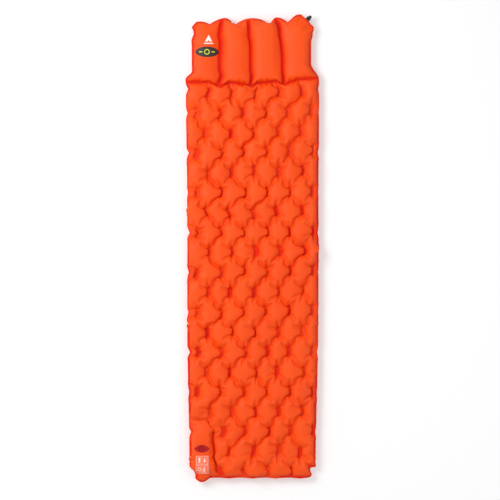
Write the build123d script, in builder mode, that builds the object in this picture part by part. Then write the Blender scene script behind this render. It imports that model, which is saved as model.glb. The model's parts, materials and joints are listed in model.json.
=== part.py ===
"""Inflatable sleeping pad with a four-tube pillow, a twist valve and a built-in foot pump.

Row frame, in millimetres: X runs across the pad, Y from the foot to the head, Z up. The origin is
on the resting plane, at the centre of the footprint. Two coated sheets are fused together round
the edge and along the pillow fold, at the seam height, and air fills the space between them.
"""

from build123d import *
import os

os.makedirs("parts", exist_ok=True)

# Overall size
pad_length = 1900.0
body_width = 542.0
pillow_width = 486.0
pillow_length = 275.0
thickness = 64.0
sheet = 1.0

# Where the sheets meet
seam_height = thickness / 2
flange = 6.0
fold_web = 16.0
fold_gap = 1.6
foot_corner = 30.0
head_chamfer = 46.0
plain_chamfer = 24.0

# How far in from the seam the air chambers reach their full height
side_run = seam_height
foot_run = seam_height
head_run = seam_height
fold_run = 72.0

# Places worked out from the above
foot_y = -pad_length / 2
head_y = pad_length / 2
fold_y = head_y - pillow_length
tube_count = 4
tube_pitch = (pillow_width - 2 * flange) / tube_count

# Foot pump, in the corner at the foot and on the left
pump_centre = (-205.0, -816.0)
pump_size = (100.0, 234.0)
cover_size = (66.0, 186.0)
cover_gap = 1.0
cover_corner = 14.0
inlet_centre = (-205.0, -812.0)
foam_clearance = 3.0
foam_well_radius = 25.0
foam_well_depth = 34.0

# Flap valves: the bore's radius, the rim's radius, and the depth of the neck under the rim
inlet_valve = (14.0, 26.0, 4.0)
outlet_valve = (5.0, 8.5, 4.0)
rim_thickness = 1.2
flap_thickness = 1.0
flap_overlap = 2.0
neck_wall = 1.6
hinge_pin_radius = 1.0
hinge_clearance = 0.05
hinge_ear = 2.0
hinge_ear_spacing = 10.0
hinge_side_gap = 0.5
outlet_drop = 13.5

# Twist valve, measured outward along its own axis from the cut corner's edge
boat_half_length = 22.0
boat_half_height = 6.5
boat_depth = 12.0
spigot_radius = 4.5
spigot_proud = 2.0
collar_radius = 8.5
collar_top = 3.0
barrel_radius = 6.0
thread_core_radius = 5.2
smooth_top = 10.0
barrel_top = 17.0
air_bore_radius = 3.5
thread_lead = 4.0
thread_width = 1.3
cap_radius = 9.0
cap_bottom = 3.6
cap_bore_radius = 6.3
cap_thread_crest_radius = 5.4
seal_groove = (4.6, 6.4)
o_ring_section_radius = 0.8
running_clearance = 0.05
mouth_radius = 3.2
mouth_land = (18.0, 21.0)
mouthpiece_radius = 6.0
cap_top = 26.0
plug_seal = (18.4, 20.4)
plug_lip = 0.8
plug_lip_radius = 2.5
post_radius = 1.5
spider = (8.0, 13.0)
spider_ribs = 3
rib_thickness = 1.0
boat_proud = 1.0
thread_root = 0.3
barrel_thread_start = 11.0
barrel_thread_turns = 1.35
cap_thread_start = 11.0
cap_thread_turns = 0.7
cap_chamfer = 0.8
cap_shoulder = (16.0, 20.0)
grip_flutes = 14
flute_radius = 1.1
flute_length = 11.0

# Printed films
print_film = 0.3
label_centre = (-204.0, -874.0)
label_size = (54.0, 68.0)
label_corner = 3.0
badge_y = 798.0
badge_shift = -7.0
badge_size = (94.0, 42.0)
mark_radius = 11.0
mark_stroke = 3.5
emblem_y = 842.0
emblem_width = 28.0
emblem_stroke = 4.0
emblem_bar_width = 36.0

seam_xz = Plane(origin=(0, 0, seam_height), x_dir=(1, 0, 0), z_dir=(0, -1, 0))
seam_yz = Plane(origin=(0, 0, seam_height), x_dir=(0, 1, 0), z_dir=(1, 0, 0))
seam_xy = Plane.XY.offset(seam_height)


def write(piece, name):
    piece.label = name
    export_step(piece, f"parts/{name}.step")


# Air chambers ---------------------------------------------------------------------------------


def crown(plane, low, high, low_run, high_run, rise):
    """Side view of a chamber that rises from both ends to a level crown."""
    with BuildSketch(plane) as outline:
        with BuildLine():
            TangentArc((low + low_run, rise), (low, 0), tangent=(-1, 0))
            Line((low + low_run, rise), (high - high_run, rise))
            TangentArc((high - high_run, rise), (high, 0), tangent=(1, 0))
            Polyline((low, 0), (low, -2 * sheet), (high, -2 * sheet), (high, 0))
        make_face()
    return outline.sketch


def tube_end(plane, low, high, rise):
    """End view of one pillow tube: an arch between two weld lines."""
    with BuildSketch(plane) as outline:
        with BuildLine():
            ThreePointArc((low, 0), ((low + high) / 2, rise), (high, 0))
            Polyline((low, 0), (low, -2 * sheet), (high, -2 * sheet), (high, 0))
        make_face()
    return outline.sketch


def body_edge(inset):
    """The body's edge at the seam, with round foot corners and a square end at the fold."""
    half = body_width / 2 - inset
    foot = foot_y + inset
    fold = fold_y - fold_gap / 2 - inset
    round_corner = foot_corner - inset
    with BuildSketch(seam_xy) as edge:
        with BuildLine():
            RadiusArc((-half, foot + round_corner), (-half + round_corner, foot), -round_corner)
            RadiusArc((half - round_corner, foot), (half, foot + round_corner), -round_corner)
            Line((-half + round_corner, foot), (half - round_corner, foot))
            Polyline((-half, foot + round_corner), (-half, fold), (half, fold), (half, foot + round_corner))
        make_face()
    return edge.sketch


def pillow_edge(inset, fold_inset):
    """The pillow's edge at the seam, its head corners cut at 45 degrees, more at the valve's."""
    half = pillow_width / 2 - inset
    head = head_y - inset
    fold = fold_y + fold_inset
    valve_cut = head_chamfer - inset * (2 - 2**0.5)
    plain_cut = plain_chamfer - inset * (2 - 2**0.5)
    with BuildSketch(seam_xy) as edge:
        with BuildLine():
            Polyline(
                (-half, fold),
                (-half, head - plain_cut),
                (-half + plain_cut, head),
                (half - valve_cut, head),
                (half, head - valve_cut),
                (half, fold),
                close=True,
            )
        make_face()
    return edge.sketch


def body_chamber(inset=0.0, open_below=False):
    """The half of the body's air space above the seam, smaller all round by the inset."""
    half = body_width / 2 - flange - inset
    foot = foot_y + flange + inset
    fold = fold_y - fold_web / 2 - inset
    rise = seam_height - inset
    with BuildPart() as chamber:
        extrude(crown(seam_xz, -half, half, side_run, side_run, rise), pad_length, both=True)
        side_view = crown(seam_yz, foot, fold, foot_run, fold_run, rise)
        extrude(side_view, pad_length, both=True, mode=Mode.INTERSECT)
        extrude(body_edge(flange + inset), thickness, both=open_below, mode=Mode.INTERSECT)
    return chamber.part


def pillow_chamber(inset=0.0, open_below=False):
    """The half of the pillow's air space above the seam: four tubes side by side."""
    fold = fold_y + fold_web / 2 + inset
    head = head_y - flange - inset
    rise = seam_height - inset
    with BuildPart() as chamber:
        for tube in range(tube_count):
            low = (tube - tube_count / 2) * tube_pitch
            arch = tube_end(seam_xz, low + inset, low + tube_pitch - inset, rise)
            extrude(arch, pad_length, both=True)
        side_view = crown(seam_yz, fold, head, fold_run, head_run, rise)
        extrude(side_view, pad_length, both=True, mode=Mode.INTERSECT)
        edge = pillow_edge(flange + inset, fold_web / 2 + inset)
        extrude(edge, thickness, both=open_below, mode=Mode.INTERSECT)
    return chamber.part


# Body sheets ----------------------------------------------------------------------------------

body_outside = body_chamber()
body_inside = body_chamber(inset=sheet, open_below=True)
with BuildPart() as body_blank:
    extrude(body_edge(0.0), sheet)
    add(body_outside)
    add(body_inside, mode=Mode.SUBTRACT)

with BuildPart() as body_bottom_sheet:
    add(mirror(body_blank.part, about=seam_xy))
write(body_bottom_sheet.part, "body_bottom_sheet")

opening = [side + 2 * cover_gap for side in cover_size]
with BuildPart() as body_top_sheet:
    add(body_blank.part)
    with BuildSketch(Plane.XY.offset(seam_height + 2 * sheet)):
        with Locations(pump_centre):
            RectangleRounded(*opening, cover_corner + cover_gap)
    extrude(amount=thickness, mode=Mode.SUBTRACT)
write(body_top_sheet.part, "body_top_sheet")

# Pillow sheets --------------------------------------------------------------------------------

valve_plane = Plane(
    origin=(pillow_width / 2 - head_chamfer / 2, head_y - head_chamfer / 2, seam_height),
    x_dir=(-1, 1, 0),
    z_dir=(1, 1, 0),
)

with BuildPart() as valve_boat:
    with BuildSketch(Plane.XY.offset(-boat_depth)):
        with BuildLine():
            ThreePointArc((-boat_half_length, 0), (0, boat_half_height), (boat_half_length, 0))
            ThreePointArc((-boat_half_length, 0), (0, -boat_half_height), (boat_half_length, 0))
        make_face()
    extrude(amount=boat_depth + boat_proud)
placed_boat = valve_plane.from_local_coords(valve_boat.part)

pillow_outside = pillow_chamber()
pillow_inside = pillow_chamber(inset=sheet, open_below=True)
with BuildPart() as pillow_blank:
    extrude(pillow_edge(0.0, fold_gap / 2), sheet)
    add(pillow_outside)
    add(pillow_inside, mode=Mode.SUBTRACT)
    add(placed_boat, mode=Mode.SUBTRACT)
write(pillow_blank.part, "pillow_top_sheet")

with BuildPart() as pillow_bottom_sheet:
    add(mirror(pillow_blank.part, about=seam_xy))
write(pillow_bottom_sheet.part, "pillow_bottom_sheet")

# Twist valve ----------------------------------------------------------------------------------


def thread_ridge(start_height, start_angle, turns, root_radius, crest_radius):
    """A screw ridge, one turn per lead, that tapers from its root to its crest."""
    with BuildPart() as ridge:
        with BuildLine(Plane.XY.rotated((0, 0, start_angle))) as path:
            Helix(thread_lead, turns * thread_lead, root_radius, center=(0, 0, start_height))
        helix = path.wires()[0]
        outward = Vector(1, 0, 0).rotate(Axis.Z, start_angle)
        with BuildSketch(Plane(origin=helix @ 0, x_dir=outward, z_dir=helix % 0)):
            depth = crest_radius - root_radius
            with BuildLine():
                Polyline(
                    (0, -thread_width / 2),
                    (depth, -thread_width / 4),
                    (depth, thread_width / 4),
                    (0, thread_width / 2),
                    close=True,
                )
            make_face()
        sweep(path=helix, is_frenet=True)
    return ridge.part


with BuildPart() as valve_boat_bored:
    add(valve_boat.part)
    with Locations((0, 0, -boat_depth)):
        Hole(spigot_radius)
write(valve_plane.from_local_coords(valve_boat_bored.part), "valve_boat")

barrel_thread = thread_ridge(
    barrel_thread_start, 0, barrel_thread_turns, thread_core_radius - thread_root, barrel_radius
)
with BuildPart() as valve_barrel:
    with BuildSketch(Plane.XZ):
        with BuildLine():
            Polyline(
                (air_bore_radius, -boat_depth - spigot_proud),
                (spigot_radius, -boat_depth - spigot_proud),
                (spigot_radius, boat_proud),
                (collar_radius, boat_proud),
                (collar_radius, collar_top),
                (barrel_radius, collar_top),
                (barrel_radius, smooth_top),
                (thread_core_radius, smooth_top),
                (thread_core_radius, barrel_top),
                (air_bore_radius, barrel_top),
                close=True,
            )
        make_face()
    revolve(axis=Axis.Z)
    add(barrel_thread)
    with BuildSketch(Plane.XY.offset(spider[0])):
        Circle(post_radius)
        with PolarLocations(0, spider_ribs):
            with Locations(((air_bore_radius + thread_root) / 2, 0)):
                Rectangle(air_bore_radius + thread_root, rib_thickness)
    extrude(amount=spider[1] - spider[0])
    with BuildSketch(Plane.XY.offset(spider[1])):
        Circle(post_radius)
    extrude(amount=plug_seal[1] - spider[1])
    with BuildSketch(Plane.XY.offset(plug_seal[0] - plug_lip)):
        Circle(plug_lip_radius)
    extrude(amount=plug_lip)
    with BuildSketch(Plane.XY.offset(plug_seal[1])):
        Circle(plug_lip_radius)
    extrude(amount=plug_lip)
write(valve_plane.from_local_coords(valve_barrel.part), "valve_barrel")

with BuildPart() as valve_plug_seal:
    with BuildSketch(Plane.XY.offset(plug_seal[0])):
        Circle(mouth_radius - running_clearance)
        Circle(post_radius, mode=Mode.SUBTRACT)
    extrude(amount=plug_seal[1] - plug_seal[0])
write(valve_plane.from_local_coords(valve_plug_seal.part), "valve_plug_seal")

with BuildPart() as valve_o_ring:
    with BuildSketch(Plane.XZ):
        with Locations((barrel_radius + running_clearance + o_ring_section_radius, sum(seal_groove) / 2)):
            Circle(o_ring_section_radius)
    revolve(axis=Axis.Z)
write(valve_plane.from_local_coords(valve_o_ring.part), "valve_o_ring")

groove_radius = barrel_radius + 2 * running_clearance + 2 * o_ring_section_radius
cap_thread = thread_ridge(
    cap_thread_start, 180, cap_thread_turns, cap_bore_radius + thread_root, cap_thread_crest_radius
)
with BuildPart() as valve_cap:
    with BuildSketch(Plane.XZ):
        with BuildLine():
            Polyline(
                (cap_bore_radius, cap_bottom),
                (cap_radius - cap_chamfer, cap_bottom),
                (cap_radius, cap_bottom + cap_chamfer),
                (cap_radius, cap_shoulder[0]),
                (mouthpiece_radius, cap_shoulder[1]),
                (mouthpiece_radius, cap_top - cap_chamfer),
                (mouthpiece_radius - cap_chamfer, cap_top),
                (mouth_radius + cap_chamfer, cap_top),
                (mouth_radius, mouth_land[1]),
                (mouth_radius, mouth_land[0]),
                (cap_bore_radius, mouth_land[0]),
                (cap_bore_radius, seal_groove[1]),
                (groove_radius, seal_groove[1]),
                (groove_radius, seal_groove[0]),
                (cap_bore_radius, seal_groove[0]),
                close=True,
            )
        make_face()
    revolve(axis=Axis.Z)
    add(cap_thread)
    with BuildSketch(Plane.XY.offset(cap_bottom)):
        with PolarLocations(cap_radius + flute_radius / 2, grip_flutes):
            Circle(flute_radius)
    extrude(amount=flute_length, mode=Mode.SUBTRACT)
write(valve_plane.from_local_coords(valve_cap.part), "valve_cap")

# Foot pump ------------------------------------------------------------------------------------

cover_top = thickness
cover_hole_radius = inlet_valve[0] + neck_wall
with BuildPart() as pump_cover:
    with BuildSketch(Plane.XY.offset(cover_top - sheet)):
        with Locations(pump_centre):
            RectangleRounded(*cover_size, cover_corner)
        with Locations(inlet_centre):
            Circle(cover_hole_radius, mode=Mode.SUBTRACT)
    extrude(amount=sheet)
write(pump_cover.part, "pump_cover")

pump_right = pump_centre[0] + pump_size[0] / 2
pump_head = pump_centre[1] + pump_size[1] / 2
outlet_centre = (pump_centre[0], pump_head + sheet, seam_height - outlet_drop)

half_space = body_chamber(inset=sheet + running_clearance)
with BuildPart() as pump_partition:
    add(half_space)
    add(mirror(half_space, about=seam_xy))
    with BuildSketch(Plane.XY):
        with BuildLine():
            Polyline(
                (-body_width, pump_head),
                (pump_right, pump_head),
                (pump_right, -pad_length),
                (pump_right + sheet, -pad_length),
                (pump_right + sheet, pump_head + sheet),
                (-body_width, pump_head + sheet),
                close=True,
            )
        make_face()
    extrude(amount=thickness, mode=Mode.INTERSECT)
    with BuildSketch(Plane(origin=outlet_centre, z_dir=(0, -1, 0))):
        Circle(outlet_valve[0] + neck_wall)
    extrude(amount=2 * sheet, both=True, mode=Mode.SUBTRACT)
write(pump_partition.part, "pump_partition")

half_foam = body_chamber(inset=foam_clearance)
with BuildPart() as pump_foam:
    add(half_foam)
    add(mirror(half_foam, about=seam_xy))
    with BuildSketch(Plane.XY):
        with Locations(pump_centre):
            Rectangle(pump_size[0] - 2 * foam_clearance, pump_size[1] - 2 * foam_clearance)
    extrude(amount=thickness, mode=Mode.INTERSECT)
    with BuildSketch(Plane.XY.offset(thickness - foam_clearance - foam_well_depth)):
        with Locations(inlet_centre):
            Circle(foam_well_radius)
    extrude(amount=thickness, mode=Mode.SUBTRACT)
write(pump_foam.part, "pump_foam")


def hinge_line(bore_radius):
    """How far from a flap valve's centre its hinge pin lies."""
    return bore_radius + flap_overlap + 3 * hinge_pin_radius


def flap_ring(bore_radius, rim_radius, neck):
    """A rim, a neck with the flap's seat at height 0, and two ears that hold the hinge pin."""
    pin_y = hinge_line(bore_radius)
    pin_z = flap_thickness / 2
    with BuildPart() as ring:
        with BuildSketch(Plane.XY.offset(-neck - rim_thickness)):
            Circle(rim_radius)
            Circle(bore_radius, mode=Mode.SUBTRACT)
        extrude(amount=rim_thickness)
        with BuildSketch(Plane.XY.offset(-neck)):
            Circle(bore_radius + neck_wall)
            Circle(bore_radius, mode=Mode.SUBTRACT)
        extrude(amount=neck)
        arm_length = pin_y + hinge_ear
        with Locations(
            (-hinge_ear_spacing / 2, arm_length / 2, -hinge_ear),
            (hinge_ear_spacing / 2, arm_length / 2, -hinge_ear),
        ):
            Box(hinge_ear, arm_length, hinge_ear)
        with Locations((-hinge_ear_spacing / 2, pin_y, 0), (hinge_ear_spacing / 2, pin_y, 0)):
            Box(hinge_ear, 2 * hinge_ear, 2 * (pin_z + hinge_ear))
        with BuildSketch(Plane.XY):
            Circle(bore_radius)
        extrude(amount=-neck, mode=Mode.SUBTRACT)
        with BuildSketch(Plane(origin=(0, pin_y, pin_z), z_dir=(1, 0, 0))):
            Circle(hinge_pin_radius + hinge_clearance)
        extrude(amount=hinge_ear_spacing, both=True, mode=Mode.SUBTRACT)
    return ring.part


def flap(bore_radius):
    """A round flap lying on the seat, with a tab that carries its hinge pin."""
    disc_radius = bore_radius + flap_overlap
    pin_y = hinge_line(bore_radius)
    tab_width = hinge_ear_spacing - hinge_ear - 2 * hinge_side_gap
    with BuildPart() as disc:
        with BuildSketch(Plane.XY):
            Circle(disc_radius)
            with Locations((0, (disc_radius + pin_y) / 2 - hinge_pin_radius)):
                Rectangle(tab_width, pin_y - disc_radius + 2 * hinge_pin_radius)
        extrude(amount=flap_thickness)
        with BuildSketch(Plane(origin=(0, pin_y, flap_thickness / 2), z_dir=(1, 0, 0))):
            Circle(hinge_pin_radius)
        extrude(amount=hinge_ear_spacing / 2 + hinge_ear, both=True)
    return disc.part


inlet_plane = Plane(
    origin=(*inlet_centre, cover_top - inlet_valve[2]),
    x_dir=(1, 0, 0),
    z_dir=(0, 0, -1),
)
outlet_plane = Plane(
    origin=(outlet_centre[0], pump_head + outlet_valve[2], outlet_centre[2]),
    x_dir=(-1, 0, 0),
    z_dir=(0, 1, 0),
)
write(inlet_plane.from_local_coords(flap_ring(*inlet_valve)), "pump_inlet_ring")
write(inlet_plane.from_local_coords(flap(inlet_valve[0])), "pump_inlet_flap")
write(outlet_plane.from_local_coords(flap_ring(*outlet_valve)), "pump_outlet_ring")
write(outlet_plane.from_local_coords(flap(outlet_valve[0])), "pump_outlet_flap")

# Printed films --------------------------------------------------------------------------------

with BuildPart() as pump_label:
    with BuildSketch(Plane.XY.offset(cover_top)):
        with Locations(label_centre):
            RectangleRounded(*label_size, label_corner)
    extrude(amount=print_film)
write(pump_label.part, "pump_label")


def tube_film(shape, layer):
    """The shape, seen from above, as a film on the first tube; layer 0 lies on the sheet."""
    low = -tube_count / 2 * tube_pitch
    below, above = layer * print_film, (layer + 1) * print_film
    with BuildPart() as film:
        outer_arch = tube_end(seam_xz, low - above, low + tube_pitch + above, seam_height + above)
        extrude(outer_arch, pad_length, both=True)
        inner_arch = tube_end(seam_xz, low - below, low + tube_pitch + below, seam_height + below)
        extrude(inner_arch, pad_length, both=True, mode=Mode.SUBTRACT)
        extrude(shape, thickness, mode=Mode.INTERSECT)
    return film.part


first_tube_x = (0.5 - tube_count / 2) * tube_pitch
badge_x = first_tube_x + badge_shift
with BuildSketch(seam_xy) as badge:
    with Locations((badge_x, badge_y)):
        Ellipse(badge_size[0] / 2, badge_size[1] / 2)
write(tube_film(badge.sketch, 0), "pillow_badge")

with BuildSketch(seam_xy) as badge_mark:
    with Locations((badge_x, badge_y)):
        Circle(mark_radius)
        Circle(mark_radius - mark_stroke, mode=Mode.SUBTRACT)
    with Locations((badge_x - 2 * mark_radius, badge_y), (badge_x + 2 * mark_radius, badge_y)):
        Circle(mark_stroke)
write(tube_film(badge_mark.sketch, 1), "pillow_badge_mark")

with BuildSketch(seam_xy) as emblem:
    with BuildLine():
        Polyline(
            (first_tube_x - emblem_width / 2, emblem_y),
            (first_tube_x + emblem_width / 2, emblem_y),
            (first_tube_x, emblem_y + emblem_width),
            close=True,
        )
    make_face()
    offset(amount=-emblem_stroke, mode=Mode.SUBTRACT)
    with Locations((first_tube_x, emblem_y - 2 * emblem_stroke)):
        Rectangle(emblem_bar_width, emblem_stroke)
write(tube_film(emblem.sketch, 0), "pillow_emblem")
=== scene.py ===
"""Looks of the inflatable sleeping pad: an inflated, spot-welded fabric shell around the CAD frame.

The fabric is laid out flat, welded, and blown up by a small inextensible-sheet solver. The upper
and the lower sheet mirror each other about the seam plane, so only the upper one is solved.
Lengths are in millimetres up to the meshes, with u across the flat pattern and v from its foot to
its head, and in metres from there on.
"""

import json
import math

import bpy
import numpy as np
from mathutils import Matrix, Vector
from mathutils.bvhtree import BVHTree


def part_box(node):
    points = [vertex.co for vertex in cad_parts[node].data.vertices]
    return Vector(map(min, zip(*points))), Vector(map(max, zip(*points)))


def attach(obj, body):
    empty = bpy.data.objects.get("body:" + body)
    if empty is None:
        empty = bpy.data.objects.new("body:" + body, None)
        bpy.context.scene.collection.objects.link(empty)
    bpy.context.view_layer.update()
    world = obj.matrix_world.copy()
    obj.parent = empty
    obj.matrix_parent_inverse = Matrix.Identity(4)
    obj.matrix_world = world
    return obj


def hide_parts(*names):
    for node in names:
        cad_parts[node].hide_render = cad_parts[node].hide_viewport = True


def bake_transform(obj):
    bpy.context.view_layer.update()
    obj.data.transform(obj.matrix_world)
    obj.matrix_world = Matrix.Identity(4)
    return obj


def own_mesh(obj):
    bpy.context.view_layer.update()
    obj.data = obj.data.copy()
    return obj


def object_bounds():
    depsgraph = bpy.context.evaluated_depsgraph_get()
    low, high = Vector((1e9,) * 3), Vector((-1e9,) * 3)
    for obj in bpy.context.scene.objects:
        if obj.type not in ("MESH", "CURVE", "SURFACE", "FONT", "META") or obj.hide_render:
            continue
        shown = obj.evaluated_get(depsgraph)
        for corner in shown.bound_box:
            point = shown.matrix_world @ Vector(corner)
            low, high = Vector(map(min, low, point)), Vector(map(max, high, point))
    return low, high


MM = 0.001

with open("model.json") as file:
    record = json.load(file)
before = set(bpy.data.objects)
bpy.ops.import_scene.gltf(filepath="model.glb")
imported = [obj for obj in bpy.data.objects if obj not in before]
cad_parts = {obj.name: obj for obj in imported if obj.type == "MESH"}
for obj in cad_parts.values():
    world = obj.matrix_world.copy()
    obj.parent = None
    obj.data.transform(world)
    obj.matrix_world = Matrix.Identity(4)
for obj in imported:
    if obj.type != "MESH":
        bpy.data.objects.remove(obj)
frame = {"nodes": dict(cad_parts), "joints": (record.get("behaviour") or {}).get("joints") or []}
cad_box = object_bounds()
joints = {joint["name"]: joint for joint in frame["joints"]}


# --- Flat pattern ---

# The finished pad, from the frame
PAD_LOW, PAD_HIGH = (np.array(corner, float) / MM for corner in cad_box)
FOLD_Y = joints["pillow_fold"]["pos_m"][1] / MM
SEAM_Z = joints["pillow_fold"]["pos_m"][2] / MM
FOOT_Y, HEAD_Y = PAD_LOW[1], PAD_HIGH[1]

# How much larger the flat fabric is than the inflated pad
BODY_SHRINK = 1.115
PILLOW_SHRINK = 1.21
LENGTH_SHRINK = 1.095
PILLOW_LENGTH_SHRINK = 1.05

# The flat outline
FOLD_V = (FOLD_Y - FOOT_Y) * LENGTH_SHRINK
HEAD_V = FOLD_V + (HEAD_Y - FOLD_Y) * PILLOW_LENGTH_SHRINK
BODY_HALF_WIDTH = 270 * BODY_SHRINK
PILLOW_HALF_WIDTH = 243 * PILLOW_SHRINK
GRID_HALF_WIDTH = BODY_HALF_WIDTH + 14
PILLOW_START, PILLOW_RUN = 14.0, 62.0
FOOT_TAPER, FOOT_TAPER_RUN = 8 * BODY_SHRINK, 0.5 * FOLD_V
HEAD_TAPER, HEAD_TAPER_RUN, HEAD_STRAIGHT = 20.0, 90.0, 30.0
HEAD_CUT, PLAIN_CUT = 52.0, 24.0
CORNER_ROUND = 15.0

# Welds: along the rim, across the fold and round the pump, between the tubes, and in spots
FLANGE = 7.0
LINE_WELD = 3.5
DIVIDER_WELD, DIVIDER_END = 6.0, 14.0
DIVIDERS = (-0.512, -0.012, 0.505)
SPOT_RADIUS, SPOT_HALF_LENGTH = 9.0, 11.0
SPOT_SIZES = (0.75, 1.15)
SPOT_JITTER = 4.0
SPOT_PITCH_X, SPOT_PITCH_Y = 96.0, 81.0
SPOT_ROWS = 20
SPOT_SHIFT = 6.0
FIRST_ROW = 43.0
SPOT_FREE = (-150.0, -690.0)

# Grooves between spot welds: how high the fabric may rise over them
CREASE_LOW, CREASE_HIGH = 9.0, 28.0
CREASE_REACH = 1.35 * SPOT_PITCH_X
CREASE_SHARES = (0.3, 0.55)
CREASE_SKIPPED = 0.15
CREASE_SLOPE = 1.1
CREASE_INSET = 14.0
SAME_ROW = 20.0
ROW_CREASE, ROW_CREASE_LEAST = 24.0, 22.0
CEILING = 60.0


def body_v(y):
    """Flat height of a place on the finished body."""
    return (y - FOOT_Y) * LENGTH_SHRINK


def smooth(t):
    """An eased step from 0 to 1."""
    t = np.clip(t, 0, 1)
    return t * t * (3 - 2 * t)


def least(*distances):
    return np.minimum.reduce(distances)


def segment_distance(u, v, start, end):
    (au, av), (bu, bv) = start, end
    du, dv = bu - au, bv - av
    t = np.clip(((u - au) * du + (v - av) * dv) / (du * du + dv * dv), 0, 1)
    return np.hypot(u - au - t * du, v - av - t * dv)


def inside_polygon(x, y, corners):
    inside = np.zeros(np.shape(x), bool)
    for (ax, ay), (bx, by) in zip(corners, corners[1:] + corners[:1]):
        if ay == by:
            continue
        crosses = (ay > y) != (by > y)
        inside ^= crosses & (x < (bx - ax) * (y - ay) / (by - ay) + ax)
    return inside


# The pump's corner: the weld round it, the slanted cut at its side and the tip at the foot
PUMP_PRESSURE = 0.3
PUMP_RIGHT = -161 * BODY_SHRINK
PUMP_HEAD = body_v(-694.0)
PUMP_SHOULDER = body_v(-750.0)
PUMP_HEEL = body_v(-905.0)
PUMP_CUT = (53.0, 71.0)
PUMP_BULGE, PUMP_BULGE_START, PUMP_BULGE_RUN = 20.0, 10.0, 60.0
PUMP_TIP, PUMP_TIP_ACROSS, PUMP_TIP_ALONG = 40.0, 0.8, 0.6
PUMP_WELD = (
    (-2 * BODY_HALF_WIDTH, PUMP_HEAD),
    (PUMP_RIGHT - 46, PUMP_HEAD),
    (PUMP_RIGHT - 16, PUMP_SHOULDER),
    (PUMP_RIGHT + 10, (PUMP_SHOULDER + PUMP_HEEL) / 2),
    (PUMP_RIGHT + 12, PUMP_HEEL),
    (PUMP_RIGHT + 24, 0.0),
)
PAST_FOOT = -50.0
PUMP_OUTLINE = [(PUMP_WELD[0][0], PAST_FOOT), *PUMP_WELD[:-1], (PUMP_WELD[-1][0], PAST_FOOT)]

# The foot edge, with the step at its right end, and the valve's boat in the cut corner
FOOT_EDGE = body_v(FOOT_Y + 18.0)
STEP, STEP_LEAN, STEP_SLOPE = (33.0, 48.0), 5.0, 0.1
BOAT_HALF_LENGTH, BOAT_HALF_HEIGHT, BOAT_DEPTH = 28.0, 8.4, 18.0


def half_width(u, v):
    """Half width of the flat outline: tapered to the foot, let out at the pump, in at the head."""
    taper = FOOT_TAPER * (1 - smooth(v / FOOT_TAPER_RUN))
    let_out = PUMP_BULGE * (u < 0) * smooth((PUMP_HEAD + PUMP_BULGE_START - v) / PUMP_BULGE_RUN)
    body = BODY_HALF_WIDTH - taper + let_out
    head_taper = HEAD_TAPER * smooth((v - HEAD_V + HEAD_TAPER_RUN + HEAD_STRAIGHT) / HEAD_TAPER_RUN)
    pillow = PILLOW_HALF_WIDTH - head_taper
    return body + (pillow - body) * smooth((v - FOLD_V - PILLOW_START) / PILLOW_RUN)


def rounded(first, second, radius):
    """The nearer of two distances, with the corner where their lines meet rounded off."""
    a, b = np.maximum(radius - first, 0), np.maximum(radius - second, 0)
    return np.where((a > 0) & (b > 0), radius - np.hypot(a, b), np.minimum(first, second))


def edge_distance(u, v):
    """How far inside the flat outline a point lies; negative outside it."""
    side = half_width(u, v) - abs(u)
    head = HEAD_V - v
    head_corner = (side + head - np.where(u > 0, HEAD_CUT, PLAIN_CUT)) / np.sqrt(2)
    tip_slant = PUMP_TIP_ACROSS * (PUMP_RIGHT - PUMP_TIP - u) + PUMP_TIP_ALONG * v
    pump_tip = rounded(v, tip_slant, CORNER_ROUND)
    cut_in, cut_up = PUMP_CUT
    pump_cut = (side * cut_up + v * cut_in - cut_in * cut_up) / np.hypot(cut_in, cut_up)
    foot = rounded(np.maximum(v - FOOT_EDGE, pump_tip), pump_cut, CORNER_ROUND)
    lean = STEP_LEAN * np.clip(1 - (v - FOOT_EDGE) / STEP[1], 0, 1)
    step_side = half_width(u, v) - STEP[0] + lean - u
    step_top = v - FOOT_EDGE - STEP[1] + STEP_SLOPE * side
    step = np.maximum(rounded(step_side, foot, CORNER_ROUND), rounded(side, step_top, CORNER_ROUND))
    return least(rounded(side, pump_cut, 2 * CORNER_ROUND), head, head_corner, foot, step)


def boat_height(u, v):
    """Half height of the valve's boat between the sheets, at the middle of the valve's corner."""
    middle_u, middle_v = half_width(1, HEAD_V) - HEAD_CUT / 2, HEAD_V - HEAD_CUT / 2
    along = ((v - middle_v) - (u - middle_u)) / np.sqrt(2)
    inward = -((u - middle_u) + (v - middle_v)) / np.sqrt(2)
    lens = BOAT_HALF_HEIGHT * (1 - (along / BOAT_HALF_LENGTH) ** 2)
    return np.where(inward < BOAT_DEPTH, np.maximum(lens, 0), 0)


def spot_centres(rng):
    """Centres of the spot welds: rows of five and six by turns, none on the pump."""
    centres = []
    for row in range(SPOT_ROWS):
        count = 5 + row % 2
        y = FOLD_Y - FIRST_ROW - row * SPOT_PITCH_Y
        for k in range(count):
            x = (k - (count - 1) / 2) * SPOT_PITCH_X + SPOT_SHIFT
            on_pump = x < SPOT_FREE[0] and y < SPOT_FREE[1]
            jitter = rng.normal(0, SPOT_JITTER, 2)
            if not on_pump:
                centres.append((x * BODY_SHRINK + jitter[0], body_v(y) + jitter[1]))
    return np.array(centres)


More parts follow.
